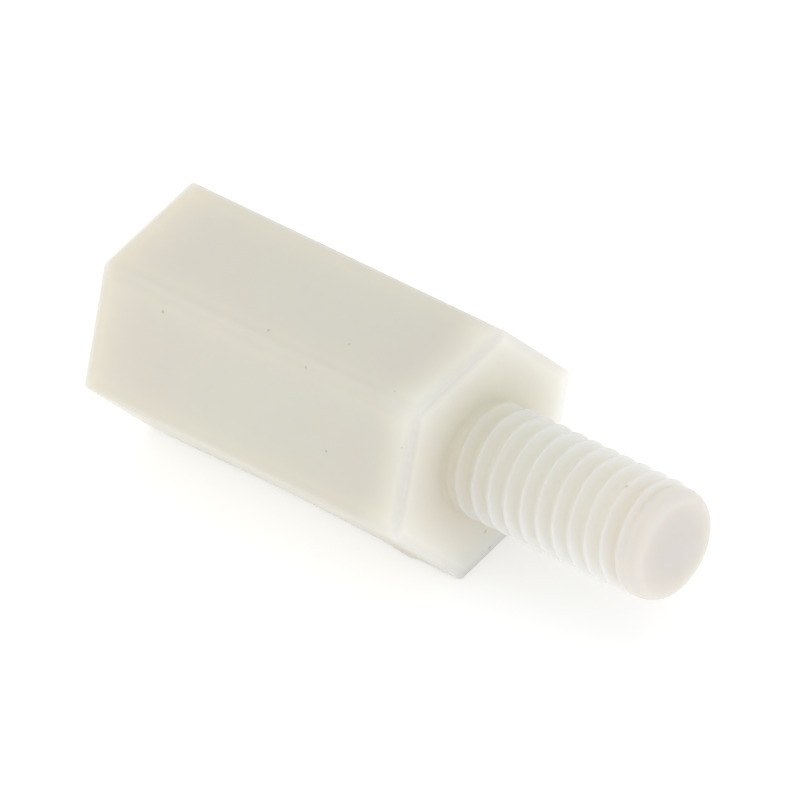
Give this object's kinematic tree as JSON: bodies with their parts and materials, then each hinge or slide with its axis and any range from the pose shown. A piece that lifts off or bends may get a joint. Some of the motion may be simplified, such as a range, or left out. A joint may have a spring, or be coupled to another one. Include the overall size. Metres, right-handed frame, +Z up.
{
  "type": "hex standoff",
  "caption": "Male to female hexagonal standoff spacer: a plastic six-sided body with a threaded stud at one end and a blind threaded hole in the other.",
  "frame": {"origin": "on the axis, at the centre of the shoulder face that a board seats against", "axes": "+X along the axis towards the stud's tip, +Z up, square to the flat that faces up"},
  "size_m": [0.016, 0.0062, 0.0054],
  "materials": {
    "natural_nylon": "satin"
  },
  "bodies": {
    "root": {"standoff": "natural_nylon"}
  },
  "joints": []
}
